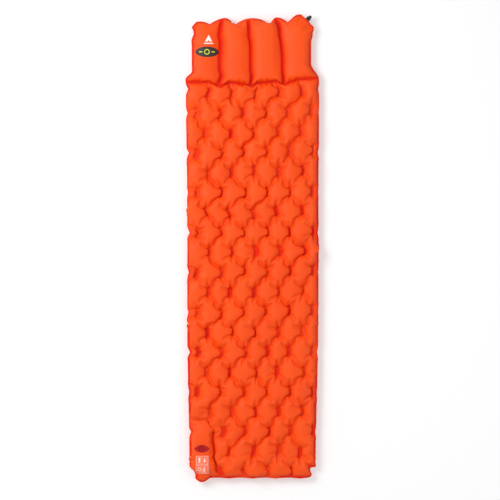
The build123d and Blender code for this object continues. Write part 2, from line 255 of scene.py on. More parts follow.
def crease_height(u, v, centres, rng):
    """How high the fabric may rise: grooves of uneven depth run between neighbouring spot welds.

    A groove between two rows joins its welds; one along a row starts at a weld and runs out.
    """
    ceiling = np.full(u.shape, np.inf)
    for index, (au, av) in enumerate(centres):
        for bu, bv in centres[index + 1:]:
            same_row = abs(bv - av) < SAME_ROW
            depth, skipped = rng.uniform(CREASE_LOW, CREASE_HIGH), rng.uniform() < CREASE_SKIPPED
            share = rng.uniform(*CREASE_SHARES)
            too_far = np.hypot(bu - au, bv - av) > CREASE_REACH
            if too_far or (depth < ROW_CREASE_LEAST if same_row else skipped):
                continue
            end = (au + share * (bu - au), av + share * (bv - av)) if same_row else (bu, bv)
            length = np.hypot(end[0] - au, end[1] - av)
            along = ((u - au) * (end[0] - au) + (v - av) * (end[1] - av)) / length
            aside = segment_distance(u, v, (au, av), end)
            if same_row:
                free = np.clip((along - SPOT_RADIUS) / (length - SPOT_RADIUS), 0, 1)
                rise = ROW_CREASE * np.sqrt(free)
            else:
                free = np.clip((along - CREASE_INSET) / (length - 2 * CREASE_INSET), 0, 1)
                rise = depth * np.sqrt(4 * free * (1 - free))
            ceiling = np.minimum(ceiling, rise + CREASE_SLOPE * aside)
    return ceiling


def divider_distance(u, v):
    """Distance from the nearest weld between two of the pillow's tubes."""
    places = [share * PILLOW_HALF_WIDTH for share in DIVIDERS]
    ends = [((x, FOLD_V), (x, HEAD_V - DIVIDER_END)) for x in places]
    return least(*[segment_distance(u, v, *pair) for pair in ends])


def right_of_divider(u):
    """Whether a point lies to the right of the divider nearest to it."""
    offsets = np.array([u - share * PILLOW_HALF_WIDTH for share in DIVIDERS])
    nearest = np.argmin(abs(offsets), axis=0)
    return np.take_along_axis(offsets, nearest[None], axis=0)[0] > 0


def snapped(outline, x, y, low, high, step):
    """The points whose outline distance is between low and high, moved onto its zero line."""
    for _ in range(3):
        level = outline(x, y)
        near = (level > low) & (level < high)
        gx = (outline(x + step, y) - level) / step
        gy = (outline(x, y + step) - level) / step
        size = np.maximum(gx * gx + gy * gy, 0.2)
        x = np.where(near, x - gx * level / size, x)
        y = np.where(near, y - gy * level / size, y)
    return x, y


def pump_distance(u, v):
    """Distance from the weld round the pump."""
    return least(*[segment_distance(u, v, *ends) for ends in zip(PUMP_WELD, PUMP_WELD[1:])])


# Grid lines this near a weld or the rim, in pitches, are moved onto it
SNAP_SPOT, SNAP_OUT, SNAP_IN = 0.5, 0.55, 0.45
ON_WELD, ON_SHEET = 0.35, 0.1

# How far the inflated fabric leans over each kind of weld, and how dark the weld is; the same darkness
# is painted as shade into the valley round the weld
SPOT_LEANS = ((1.2, 0.0), (3.2, 1.0))
SPOT_LEAN_FALL = 0.35
FOLD_LEAN, DIVIDER_LEANS, PUMP_LEANS = 0.5, (0.1, 0.7), (1.6, 0.8)
SPOT_REDNESS, FOLD_REDNESS, DIVIDER_REDNESS, PUMP_REDNESS = (0.35, 1.0), 0.9, 1.0, (0.1, 0.8)


class Pattern:
    """The flat sheet on a grid, with its welds and what the solver has to know of each vertex."""

    def __init__(self, columns, rows, seed=7):
        rng = np.random.default_rng(seed)
        u = np.linspace(-GRID_HALF_WIDTH, GRID_HALF_WIDTH, columns + 1)
        v = np.linspace(0, HEAD_V, rows + 1)
        self.pitch = u[1] - u[0]
        u, v = np.meshgrid(u, v)
        centres = spot_centres(rng)
        radii = SPOT_RADIUS * rng.uniform(*SPOT_SIZES, len(centres))
        from_centre = v[..., None] - centres[:, 1]
        lines_v = centres[:, 1] + np.clip(from_centre, -SPOT_HALF_LENGTH, SPOT_HALF_LENGTH)
        beyond = np.hypot(u[..., None] - centres[:, 0], v[..., None] - lines_v) - radii
        nearest = beyond.argmin(axis=-1)
        gap = beyond.min(axis=-1)
        core_u = centres[nearest, 0]
        core_v = np.take_along_axis(lines_v, nearest[..., None], axis=-1)[..., 0]
        on_rim = abs(gap) < SNAP_SPOT * self.pitch
        radius = radii[nearest]
        scale = np.where(on_rim, radius / np.maximum(gap + radius, 1e-6), 1.0)
        u = core_u + (u - core_u) * scale
        v = core_v + (v - core_v) * scale
        spot = np.where(on_rim, 0, np.maximum(gap, 0))
        u, v = snapped(edge_distance, u, v, -SNAP_OUT * self.pitch, SNAP_IN * self.pitch, 0.01)
        edge = edge_distance(u, v)
        self.u, self.v = u, v
        self.live = edge > -ON_SHEET * self.pitch
        self.flange = self.live & (edge < FLANGE)
        fold = segment_distance(u, v, (-2 * BODY_HALF_WIDTH, FOLD_V), (2 * BODY_HALF_WIDTH, FOLD_V))
        divider = np.maximum(divider_distance(u, v) - DIVIDER_WELD, 0)
        self.pump_line = pump_distance(u, v)
        line = least(fold - LINE_WELD, divider, self.pump_line - LINE_WELD)
        self.height = np.maximum(least(spot, edge - FLANGE, line), 0)
        self.mould = np.where(self.live, boat_height(u, v), 0).astype(np.float32)
        self.weld = self.live & ((self.height < ON_WELD * self.pitch) | (self.mould > 0))
        self.stiff = (spot < ON_WELD * self.pitch) | (divider < ON_WELD * self.pitch)
        sides = rng.uniform(*SPOT_LEANS, (len(centres), 2))
        right = (u > core_u).astype(int)
        along = np.clip(abs(v - centres[nearest, 1]) / (SPOT_RADIUS + SPOT_HALF_LENGTH), 0, 1)
        pump_head = v > PUMP_SHOULDER
        by_line = [fold - LINE_WELD <= self.height, divider <= self.height,
                   self.pump_line - LINE_WELD <= self.height]
        self.lean = np.select(by_line, [FOLD_LEAN, np.where(right_of_divider(u), *DIVIDER_LEANS),
                                        np.where(pump_head, *PUMP_LEANS)],
                              sides[nearest, right] * (1 - SPOT_LEAN_FALL * along ** 2))
        # How dark each weld is: its own deeper colour, and the painted shade in the valley round it
        self.redness = np.select(by_line, [FOLD_REDNESS, DIVIDER_REDNESS,
                                           np.where(pump_head, *PUMP_REDNESS)],
                                 rng.uniform(*SPOT_REDNESS, len(centres))[nearest])
        on_pump = inside_polygon(u, v, PUMP_OUTLINE)
        self.pressure = np.where(on_pump, PUMP_PRESSURE, 1.0).astype(np.float32)
        self.ceiling = crease_height(u, v, centres, rng)
        self.ceiling[v > FOLD_V] = np.inf
        self.ceiling = np.minimum(self.ceiling, CEILING).astype(np.float32)
        self.bare_edge = edge - FLANGE

    def first_guess(self, rng):
        """Roughly inflated places for the grid, from how far each point is from a weld."""
        beyond = self.v - FOLD_V
        narrower = (1 / PILLOW_SHRINK - 1 / BODY_SHRINK) * smooth(beyond / (PILLOW_START + PILLOW_RUN))
        x = self.u * np.where(self.v < FOLD_V, 1 / BODY_SHRINK, 1 / BODY_SHRINK + narrower)
        y = np.where(self.v < FOLD_V, FOOT_Y + self.v / LENGTH_SHRINK,
                     FOLD_Y + beyond / PILLOW_LENGTH_SHRINK)
        rough = rng.normal(0, ROUGHNESS[0], self.u.shape)
        z = np.where(self.weld, 0, 5 * np.sqrt(self.height) + rough)
        return np.stack([x, y, z])


# --- Inflation ---

# Threads run to these neighbours; how hard each kind resists being squeezed
SPANS = ((0, 1), (1, 0), (1, 1), (1, -1), (0, 2), (2, 0))
WELD_SQUEEZE, CLOTH_SQUEEZE, SEAM_SQUEEZE, BEND_SQUEEZE = 1.0, 0.35, 0.06, 0.12

# The coarse and the fine pass: steps, pressure, and the random roughness that starts the wrinkles
GRID = (66, 228)
STEPS, QUICK_STEPS = (2200, 1500), 400
PRESSURES = (0.03, 0.012)
ROUGHNESS = (0.4, 0.15)
DAMPING = 0.985
FULL_SHARE, EASED_PRESSURE = 0.6, 0.35


def start_and_end(shape, rows, columns):
    """Two index tuples that line each grid vertex up with its neighbour that many steps away."""
    height, width = shape
    start = (slice(0, height - rows), slice(max(0, -columns), width - max(0, columns)))
    end = (slice(rows, height), slice(max(0, columns), width + min(0, columns)))
    return start, end


def links(pattern, place):
    """The sheet's threads as views into place, in lanes whose threads share no vertex."""
    lanes = []
    for rows, columns in SPANS:
        start, end = start_and_end(pattern.u.shape, rows, columns)
        rest = np.hypot(pattern.u[end] - pattern.u[start], pattern.v[end] - pattern.v[start])
        live = 0.5 * (pattern.live[start] & pattern.live[end])
        span = max(rows, columns)
        if span == 2:
            pull, squeeze = 0 * live, BEND_SQUEEZE * live
        else:
            seam = pattern.flange[start] & pattern.flange[end]
            stiff = pattern.stiff[start] & pattern.stiff[end]
            soft = np.where(seam, SEAM_SQUEEZE, CLOTH_SQUEEZE)
            pull, squeeze = live, live * np.where(stiff, WELD_SQUEEZE, soft)
        for offset in range(2 * span):
            pick = slice(offset, None, 2 * span)
            lane = (pick, slice(None)) if rows else (slice(None), pick)
            lanes.append((
                place[(slice(None), *start)][(slice(None), *lane)],
                place[(slice(None), *end)][(slice(None), *lane)],
                *(part[lane].astype(np.float32) for part in (rest, pull, squeeze)),
            ))
    return lanes


def area_normals(place):
    """Un-normalised normals, from central differences, as long as four grid cells' area."""
    across = np.zeros_like(place)
    along = np.zeros_like(place)
    across[:, :, 1:-1] = place[:, :, 2:] - place[:, :, :-2]
    along[:, 1:-1, :] = place[:, 2:, :] - place[:, :-2, :]
    return np.cross(across, along, axis=0)


def inflate(pattern, guess, steps, pressure):
    """Blows the sheet up: each step adds pressure, then pulls every thread back to length."""
    place = guess.astype(np.float32)
    lanes = links(pattern, place)
    free = (pattern.live & ~pattern.weld).astype(np.float32)
    load = free * pattern.pressure
    live = pattern.live.astype(np.float32)
    speed = np.zeros_like(place)
    scale = pressure / (4 * pattern.pitch ** 2)
    for step in range(steps):
        strength = scale * (1.0 if step < FULL_SHARE * steps else EASED_PRESSURE)
        speed = DAMPING * (speed + strength * load * area_normals(place))
        before = place.copy()
        place += live * speed
        for start, end, rest, pull, squeeze in lanes if step % 2 else lanes[::-1]:
            gap = end - start
            length = np.sqrt(gap[0] ** 2 + gap[1] ** 2 + gap[2] ** 2) + np.float32(1e-9)
            excess = length - rest
            gap *= np.where(excess > 0, pull, squeeze) * excess / length
            start += gap
            end -= gap
        place[2] = np.clip(place[2] * free, pattern.mould, np.maximum(pattern.ceiling, pattern.mould))
        speed = place - before
    return place


def doubled(place):
    """The same sheet on a grid twice as fine."""
    for axis in (1, 2):
        lines = np.moveaxis(place, axis, 0)
        finer = np.empty((2 * len(lines) - 1, *lines.shape[1:]), place.dtype)
        finer[::2] = lines
        finer[1::2] = 0.5 * (lines[:-1] + lines[1:])
        place = np.ascontiguousarray(np.moveaxis(finer, 0, axis))
    return place


def inflated_sheet():
    """The solved sheet: coarse first, then again on a finer grid that starts from the coarse one."""
    rng = np.random.default_rng(11)
    columns, rows = GRID
    coarse = Pattern(columns, rows)
    steps = STEPS[0]
    place = inflate(coarse, coarse.first_guess(rng), steps, PRESSURES[0])
    fine = Pattern(2 * columns, 2 * rows)
    place = doubled(place)
    rough = rng.normal(0, ROUGHNESS[1], place[2].shape).astype(np.float32)
    place[2] += rough * (place[2] > 1)
    return fine, inflate(fine, place, STEPS[1], PRESSURES[1])


# --- Fitting the sheet to the frame ---


def soft_limit(height, limit):
    """Leaves low places alone and eases high ones towards the limit."""
    knee = 0.75 * limit
    over = np.maximum(height - knee, 0)
    return np.where(height > knee, limit - (limit - knee) * np.exp(-over / (limit - knee)), height)


# The finished sides; a pair is the mean of both sides and what the left side has on top of it
SHEET = 1.0
FOOT_NARROWER, FOOT_NARROWER_RUN = 11.0, 700.0
BODY_NARROWER, BODY_WIDEST, BODY_NARROWER_RUN = 4.0, 200.0, 400.0
NOTCH_HALF, NOTCH_END = 26.0, 60.0
NOTCH, NOTCH_BY_ROW, ROW_WAVE = (4.8, 2.2), (2.8, 1.0), 2.4
WAIST, WAIST_DROP = (7.0, 3.0), 27.0
HEAD_NOTCH, HEAD_NOTCH_DROP = 8.0, 66.0
SHOULDER_START, SHOULDER_RUN, SHOULDER_LOPSIDED = 12.0, 52.0, 16.0
SKEW = ((FOOT_Y, 0, FOLD_Y, FOLD_Y + 60), (0, 2, 0, -4))
TIP_CUT = ((FOOT_Y + 5, FOOT_Y + 15, FOOT_Y + 32, FOOT_Y + 45, FOOT_Y + 61), (34, 27, 20, 11, 0))
SIDE_EASE = 3
FOOT_STEP_TOP, HEAD_CORNERS = 70.0, 60.0


def wanted_side(y, sign):
    """Where the finished outline's left (-1) or right (1) side runs, from a distance along the pad."""
    def pinch(away):
        return np.clip(1 - abs(away) / NOTCH_HALF, 0, 1) ** 1.5

    def for_side(pair):
        return pair[0] - pair[1] * sign

    low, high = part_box("pillow_top_sheet")
    pillow = (high.x - low.x) / 2 / MM
    to_foot = FOOT_NARROWER * (1 - smooth((y - FOOT_Y) / FOOT_NARROWER_RUN))
    to_head = BODY_NARROWER * (1 - smooth((y - BODY_WIDEST) / BODY_NARROWER_RUN))
    body = PAD_HIGH[0] - to_foot - to_head
    rows = (FOLD_Y - FIRST_ROW - SPOT_PITCH_Y - y) / (2 * SPOT_PITCH_Y)
    row = np.round(rows)
    depth = for_side(NOTCH) + for_side(NOTCH_BY_ROW) * np.sin(ROW_WAVE * row)
    notch = depth * pinch((rows - row) * 2 * SPOT_PITCH_Y) * (y < FOLD_Y - NOTCH_END)
    waist = for_side(WAIST) * pinch(y - FOLD_Y + WAIST_DROP)
    corner = HEAD_NOTCH * pinch(y - HEAD_Y + HEAD_NOTCH_DROP)
    shoulder_run = SHOULDER_RUN + SHOULDER_LOPSIDED * sign
    shoulder = (pillow - body) * smooth((y - FOLD_Y - SHOULDER_START) / shoulder_run)
    cut = (sign < 0) * np.interp(y, *TIP_CUT)
    return sign * (body - notch - waist - corner - cut + shoulder) + np.interp(y, *SKEW)


def eased(values, reach):
    """A running mean that keeps the ends."""
    padded = np.pad(values, reach, mode="edge")
    return np.convolve(padded, np.ones(2 * reach + 1) / (2 * reach + 1), mode="valid")


# The scalloped head edge: places across the pad and how far below the head line they lie
PEAKS = ((-222, 27), (-114, 12), (-2, 13), (96, 10), (196, 4))
DIPS = ((-174, 38), (-68, 38), (74, 34), (143, 30))
VALVE_SIDE, VALVE_FADE = 150.0, 40.0
FOOT_RISE, FOOT_WAVE, FOOT_REACH = 14.0, 4.0, 160.0
EDGE_FADE = 12.0
EDGE_EASE = 50


def head_dip(x):
    """How far the scalloped head edge lies below the head line: arches rise from every dip."""
    peak = np.interp(x, *zip(*PEAKS))
    dip = peak
    for (left, _), (middle, depth), (right, _) in zip(PEAKS, DIPS, PEAKS[1:]):
        share = np.where(x < middle, (middle - x) / (middle - left), (x - middle) / (right - middle))
        arch = (depth - np.interp(middle, *zip(*PEAKS))) * (1 - share) ** 2
        dip = np.where(share < 1, peak + arch, dip)
    return dip


def edge_shift(pattern, x, y, edge_v, wanted):
    """How far each column's rim vertex at edge_v has to move along the pad, exact and eased."""
    rim = pattern.live & (abs(pattern.v - edge_v) < 1.0)
    columns = np.flatnonzero(rim.any(axis=0))
    pick = np.max if edge_v == HEAD_V else np.min
    rows = [pick(np.flatnonzero(rim[:, column])) for column in columns]
    shift = wanted(x[rows, columns], y[rows, columns])
    shift = np.interp(np.arange(x.shape[1]), columns, shift)
    return shift, eased(shift, x.shape[1] // EDGE_EASE)


def scalloped(pattern, x, y):
    """Brings the head edge's dips and peaks, and the foot edge, to the finished outline."""
    def at_head(rim_x, rim_y):
        shift = HEAD_Y - head_dip(rim_x) - rim_y
        return shift * (1 - smooth((rim_x - VALVE_SIDE) / VALVE_FADE))

    def at_foot(rim_x, rim_y):
        wave = FOOT_WAVE * abs(np.sin(rim_x / SPOT_PITCH_X * math.pi))
        return FOOT_Y + FOOT_RISE + wave - rim_y

    shift, inner = edge_shift(pattern, x, y, HEAD_V, at_head)
    near = np.exp(-(HEAD_V - pattern.v) / EDGE_FADE)
    y = y + inner * np.clip((y - FOLD_Y) / (HEAD_Y - FOLD_Y), 0, 1) ** 2 + (shift - inner) * near
    shift, inner = edge_shift(pattern, x, y, FOOT_EDGE, at_foot)
    height = pattern.v - FOOT_EDGE
    near = np.exp(-abs(height) / EDGE_FADE)
    return y + inner * np.clip(1 - height / FOOT_REACH, 0, 1) ** 2 + (shift - inner) * near


def squared(pattern, x, y):
    """Stretches each row of the grid a little so that the sides lie on the finished outline."""
    rows = np.arange(x.shape[0])
    edges = []
    for sign, lowest in ((-1, FOOT_Y), (1, FOOT_Y + FOOT_STEP_TOP)):
        columns = np.array([np.flatnonzero(row)[0 if sign < 0 else -1] for row in pattern.live])
        now, along = (eased(values[rows, columns], SIDE_EASE) for values in (x, y))
        steady = (along > lowest) & (along < HEAD_Y - HEAD_CORNERS)
        now, shift = (np.interp(rows, rows[steady], values[steady])
                      for values in (now, wanted_side(along, sign) - now))
        edges.append((now, shift))
    (left, left_shift), (right, right_shift) = edges
    share = (x - left[:, None]) / (right - left)[:, None]
    return x + left_shift[:, None] * (1 - share) + right_shift[:, None] * share


# How far the fabric leans over its welds, and out to what distance from them
TUCK, TUCK_REACH, TUCK_ALONG = 7.0, 36.0, 0.6
RIM_TUCK, RIM_TUCK_RUN = 0.2, 6.0
BELL_PEAK = 4 / 27


def tucked(pattern, x, y):
    """Lets the fabric bulge over the welds: points near a weld shift towards it."""
    away = np.gradient(pattern.height)
    du, dv = np.gradient(pattern.u), np.gradient(pattern.v)
    det = du[1] * dv[0] - du[0] * dv[1]
    det = np.where(abs(det) < 1e-3, 1e-3, det)
    slope_u = (away[1] * dv[0] - away[0] * dv[1]) / det
    slope_v = (away[0] * du[1] - away[1] * du[0]) / det
    length = np.maximum(np.hypot(slope_u, slope_v), 1.0)
    t = np.clip(pattern.height / TUCK_REACH, 0, 1)
    bell = t * (1 - t) ** 2 / BELL_PEAK
    inner = smooth((pattern.bare_edge - pattern.height) / RIM_TUCK_RUN)
    amount = TUCK * pattern.lean * bell * (RIM_TUCK + (1 - RIM_TUCK) * inner)
    return x - amount * slope_u / length, y - TUCK_ALONG * amount * slope_v / length


# The crease across the first tube, below the badge: its place, width and depth
PANEL_CREASE = (766.0, 3.0, 2.6)
PANEL_CREASE_INSET, PANEL_CREASE_FADE = 14.0, 20.0
PILLOW_RISE_RUN = 80.0


def fitted(pattern, place):
    """The solved sheet in the row frame, brought to the frame's length, widths and thickness."""
    x, y, z = place.astype(float)
    live, v = pattern.live, pattern.v
    fold = np.median(y[live & (abs(v - FOLD_V) < pattern.pitch)])
    y = np.interp(y, [y[live].min(), fold, y[live].max()], [FOOT_Y, FOLD_Y, HEAD_Y])
    x = squared(pattern, x, y)
    top = SEAM_Z - SHEET
    share = smooth((v - FOLD_V) / PILLOW_RISE_RUN)
    body_rise = top / np.percentile(z[live & (v < FOLD_V)], 97)
    pillow_rise = top / np.percentile(z[live & (v > FOLD_V)], 98)
    z = z * (body_rise + (pillow_rise - body_rise) * share)
    z = np.where(pattern.mould > 0, pattern.mould, soft_limit(z, top))
    crease_y, crease_width, crease_depth = PANEL_CREASE
    tube_side = DIVIDERS[0] * PILLOW_HALF_WIDTH - PANEL_CREASE_INSET
    on_first_tube = smooth((tube_side - pattern.u) / PANEL_CREASE_FADE) * (z > crease_depth)
    z = z - crease_depth * on_first_tube * np.exp(-((y - crease_y) / crease_width) ** 2)
    x, y = tucked(pattern, x, y)
    x, y, z = settle_corner(pattern, np.stack([x, y, z]))
    y = scalloped(pattern, x, y)
    y = np.where(x < VALVE_SIDE, np.minimum(y, HEAD_Y - head_dip(x)), y)
    return np.stack([x, y, z])


CORNER_STIFF, CORNER_FADE = 30.0, 70.0


def settle_corner(pattern, place):
    """Turns and shifts the fabric round the valve so that the cut corner meets the valve's boat."""
    boat = pattern.mould > 0.3 * BOAT_HALF_HEIGHT
    corner = place[:2, boat]
    centre = corner.mean(axis=1)
    spread = np.linalg.svd(corner - centre[:, None], full_matrices=False)[0]
    lie = spread[:, 0] * np.sign(spread[1, 0])
    turn = math.radians(135) - math.atan2(lie[1], lie[0])
    turn = (turn + math.pi / 2) % math.pi - math.pi / 2
    low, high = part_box("valve_boat")
    target = np.array([(low.x + high.x) / 2, (low.y + high.y) / 2]) / MM
    offset = place[:2] - centre[:, None, None]
    cos, sin = math.cos(turn), math.sin(turn)
    turned = np.stack([cos * offset[0] - sin * offset[1], sin * offset[0] + cos * offset[1]])
    weight = 1 - smooth((np.hypot(*offset) - CORNER_STIFF) / CORNER_FADE)
    place = place.copy()
    place[:2] += weight * (turned + target[:, None, None] - place[:2])
    return place


# --- Meshes ---


def grid_faces(live):
    """Index quads of the grid's live cells, and a triangle where only one corner isn't live."""
    rows, columns = live.shape
    index = np.arange(rows * columns).reshape(rows, columns)
    corners = np.stack([index[:-1, :-1], index[:-1, 1:], index[1:, 1:], index[1:, :-1]], -1)
    on = live.ravel()[corners]
    faces = [tuple(int(i) for i in quad) for quad in corners[on.all(-1)]]
    for cell, kept in zip(corners[on.sum(-1) == 3], on[on.sum(-1) == 3]):
        faces.append(tuple(int(i) for i in cell[kept]))
    return faces


def new_mesh(name, points, faces, weld=None):
    """A mesh object from the points its faces use, and how dark a weld is at each of them, with the
    painted shade that fades out from the welds into the valleys.
    """
    used = sorted({i for face in faces for i in face})
    order = {old: new for new, old in enumerate(used)}
    mesh = bpy.data.meshes.new(name)
    mesh.from_pydata(points[used].tolist(), [], [[order[i] for i in face] for face in faces])
    if weld is not None:
        layer = mesh.attributes.new("weld", "FLOAT", "POINT")
        layer.data.foreach_set("value", weld[used].astype(np.float32))
    mesh.shade_smooth()
    piece = bpy.data.objects.new(name, mesh)
    bpy.context.scene.collection.objects.link(piece)
    return piece


def bake(piece):
    """Applies the piece's modifiers."""
    bpy.context.view_layer.update()
    evaluated = piece.evaluated_get(bpy.context.evaluated_depsgraph_get())
    mesh = bpy.data.meshes.new_from_object(evaluated)
    piece.modifiers.clear()
    piece.data = mesh
    return piece


def thicken(piece, thickness, inward=True):
    solid = piece.modifiers.new("thickness", "SOLIDIFY")
    solid.thickness = thickness
    solid.offset = -1 if inward else 1
    return bake(piece)


def centre_of(node):
    low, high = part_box(node)
    return (low + high) / 2


# Heights are in metres; widths, reaches and fades are in millimetres of the flat pattern
CLOTH = 0.0005
GROUND_GAP = 0.0004
TAPE, TAPE_HALF_WIDTH = 0.0006, 7.0
# How far the welds' deep red reaches up the fabric: painted shade in the valleys round the welds
WELD_SHADE_FADE = 4.5
RIDGE, RIDGE_REACH = 0.016, 16.0
RIDGE_FADE_ALONG, RIDGE_FADE_SIDE = 30.0, 25.0
# The pump's ports: the hole over the inlet, and the sleeve under the seam round the outlet
INLET = np.array([(a + b) / 2 for a, b in zip(*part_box("pump_inlet_ring"))][:2])
PORT_HOLE = 0.0125
OUTLET = centre_of("pump_outlet_ring")
OUTLET_DEPTH, OUTLET_REACH = 0.0245, 0.018


def pump_ridge(pattern):
    """How high the partition at the pump's head end holds up the crease in the upper sheet."""
    along = smooth((pattern.v - PUMP_SHOULDER) / RIDGE_FADE_ALONG)
    along = along * smooth(pattern.bare_edge / RIDGE_FADE_SIDE)
    return (RIDGE * along * (1 - smooth(pattern.pump_line / RIDGE_REACH))).ravel()


def sheet_pieces(pattern, place):
    """The upper sheet, the pump's bladder, the lower sheet and the tape in the pump's weld."""
    flat = np.stack([pattern.u.ravel(), pattern.v.ravel()])
    # Painted shade: the welds' deeper colour, fading up into the valleys round them
    weld = (pattern.redness * np.exp(-pattern.height / WELD_SHADE_FADE)).ravel()
    x, y, z = place.reshape(3, -1) * MM
    seam = SEAM_Z * MM
    ridge = pump_ridge(pattern)
    upper = np.stack([x, y, seam + np.maximum(z, ridge) + CLOTH], -1)
    from_outlet = np.hypot(x - OUTLET.x, y - OUTLET.y)
    sleeve = OUTLET_DEPTH * smooth((2 * OUTLET_REACH - from_outlet) / OUTLET_REACH)
    lower = np.stack([x, y, np.maximum(seam - np.maximum(z, sleeve) - CLOTH, GROUND_GAP)], -1)
    faces = grid_faces(pattern.live)
    centres = np.array([flat[:, list(face)].mean(axis=1) for face in faces])
    on_pump = inside_polygon(centres[:, 0], centres[:, 1], PUMP_OUTLINE)
    port = np.array([np.hypot(*(upper[list(face), :2].mean(axis=0) - INLET)) for face in faces])
    shell = [face for face, pump in zip(faces, on_pump) if not pump]
    bladder = [face for face, pump, far in zip(faces, on_pump, port > PORT_HOLE) if pump and far]
    below = [face[::-1] for face in faces]
    pieces = {}
    for name, points, part in (("upper_sheet", upper, shell), ("pump_bladder", upper, bladder),
                               ("lower_sheet", lower, below)):
        pieces[name] = thicken(new_mesh(name, points, part, weld), CLOTH)
    head_end = (pattern.pump_line < RIDGE_REACH) & (pattern.v > PUMP_SHOULDER)
    taped = pattern.live & ((pattern.pump_line < TAPE_HALF_WIDTH) | head_end)
    middle = np.stack([x, y, seam + np.where(ridge > TAPE, ridge - TAPE / 2, TAPE / 2)], -1)
    tape = new_mesh("pump_weld_tape", middle, grid_faces(taped), weld)
    pieces["pump_weld_tape"] = thicken(tape, TAPE)
    surface = BVHTree.FromPolygons([Vector(p) for p in upper], faces)
    return pieces, surface


# --- Films and patches that lie on the fabric ---


def rounded_box(x, y, half_x, half_y, radius):
    dx, dy = abs(x) - half_x + radius, abs(y) - half_y + radius
    return np.hypot(np.maximum(dx, 0), np.maximum(dy, 0)) + np.minimum(np.maximum(dx, dy), 0) - radius


def ring(x, y, radius, width):
    return abs(np.hypot(x, y) - radius) - width / 2


# Grid pitches for large and fine outlines, the ink's thickness, and how near a grid point has to
# be to an outline, in pitches, to be moved onto it
PITCH, FINE_PITCH = 0.0012, 0.0009
INK = 0.0002
FILM_SNAP, FILM_SLACK = 0.6, 0.05


def film(name, outline, centre, reach, surface, lift, thickness, pitch=PITCH):
    """A thin patch on the fabric, where the outline's distance is below zero."""
    half_x, half_y = reach
    columns, rows = (2 * int(math.ceil(half / pitch)) for half in reach)
    across = np.linspace(-half_x, half_x, columns + 1)
    along = np.linspace(-half_y, half_y, rows + 1)
    x, y = np.meshgrid(across, along)
    x, y = snapped(outline, x, y, -FILM_SNAP * pitch, FILM_SNAP * pitch, 1e-5)
    live = outline(x, y) < FILM_SLACK * pitch
    points = np.stack([x + centre[0], y + centre[1], np.zeros_like(x)], -1).reshape(-1, 3)
    for index in np.flatnonzero(live.ravel()):
        above = Vector((points[index, 0], points[index, 1], 1.0))
        spot, normal = surface.ray_cast(above, Vector((0, 0, -1)))[:2]
        if spot is None:
            live.flat[index] = False
        else:
            points[index] = spot + lift * normal
    return thicken(new_mesh(name, points, grid_faces(live)), thickness, inward=False)


# --- Materials ---


class Shader:
    """A material's node tree, built step by step."""

    def __init__(self, name):
        self.material = bpy.data.materials.new(name)
        self.material.use_nodes = True
        self.tree = self.material.node_tree
        self.surface = self.tree.nodes["Principled BSDF"]
        self.place = self.node("ShaderNodeTexCoord").outputs["Object"]

    def node(self, kind, **settings):
        made = self.tree.nodes.new(kind)
        for key, value in settings.items():
            setattr(made, key, value)
        return made

    def wire(self, source, target):
        self.tree.links.new(source, target)

    def noise(self, scale, detail, stretch=(1, 1, 1)):
        mapping = self.node("ShaderNodeMapping")
        mapping.inputs["Scale"].default_value = stretch
        self.wire(self.place, mapping.inputs["Vector"])
        texture = self.node("ShaderNodeTexNoise")
        texture.inputs["Scale"].default_value = scale
        texture.inputs["Detail"].default_value = detail
        self.wire(mapping.outputs["Vector"], texture.inputs["Vector"])
        return texture.outputs["Fac"]

    def threads(self, direction):
        """Bands one thread pitch apart; the wave texture repeats every pi / 10 over its scale."""
        texture = self.node("ShaderNodeTexWave", wave_type="BANDS", bands_direction=direction)
        texture.inputs["Scale"].default_value = math.pi / (10 * THREAD_PITCH)
        texture.inputs["Distortion"].default_value = 0.3
        self.wire(self.place, texture.inputs["Vector"])
        return texture.outputs["Fac"]

    def weave(self):
        return self.math("ADD", self.threads("X"), self.threads("Y"))

    def feed(self, value, socket):
        """Wires an output to a socket, or sets the socket to a number or a colour."""
        if isinstance(value, tuple):
            socket.default_value = (*value, 1)
        elif isinstance(value, (int, float)):
            socket.default_value = value
        else:
            self.wire(value, socket)

    def math(self, operation, first, second):
        made = self.node("ShaderNodeMath", operation=operation)
        for value, socket in zip((first, second), made.inputs):
            self.feed(value, socket)
        return made.outputs["Value"]

    def mix(self, factor, first, second):
        made = self.node("ShaderNodeMix", data_type="RGBA")
        for value, key in ((factor, "Factor"), (first, "A"), (second, "B")):
            self.feed(value, made.inputs[key])
        return made.outputs["Result"]

    def ramp(self, value, low, high, start, end):
        made = self.node("ShaderNodeMapRange")
        for key, number in (("From Min", low), ("From Max", high), ("To Min", start), ("To Max", end)):
            made.inputs[key].default_value = number
        self.wire(value, made.inputs["Value"])
        return made.outputs["Result"]

    def bump(self, height, distance, strength, under=None):
        made = self.node("ShaderNodeBump")
        made.inputs["Strength"].default_value = strength
        made.inputs["Distance"].default_value = distance
        self.wire(height, made.inputs["Height"])
        if under is not None:
            self.wire(under, made.inputs["Normal"])
        return made.outputs["Normal"]

    def finish(self, colour, roughness, normal=None, **values):
        self.feed(colour, self.surface.inputs["Base Color"])
        self.feed(roughness, self.surface.inputs["Roughness"])
        if normal is not None:
            self.wire(normal, self.surface.inputs["Normal"])
        for key, value in values.items():
            self.surface.inputs[key.replace("_", " ")].default_value = value
        return self.material


# The deep red is the fabric's random darker patches, the welds' own colour, and the painted shade in
# the valleys round the welds
FABRIC, FABRIC_DEEP = (0.93, 0.082, 0.004), (0.60, 0.006, 0.004)
# Painted light: a faint red glow on the welds and in the valleys round them, for light through the
# thin fabric
WELD_GLOW, GLOW_COLOUR = 0.07, (1.0, 0.02, 0.03, 1.0)
THREAD_PITCH = 0.0011


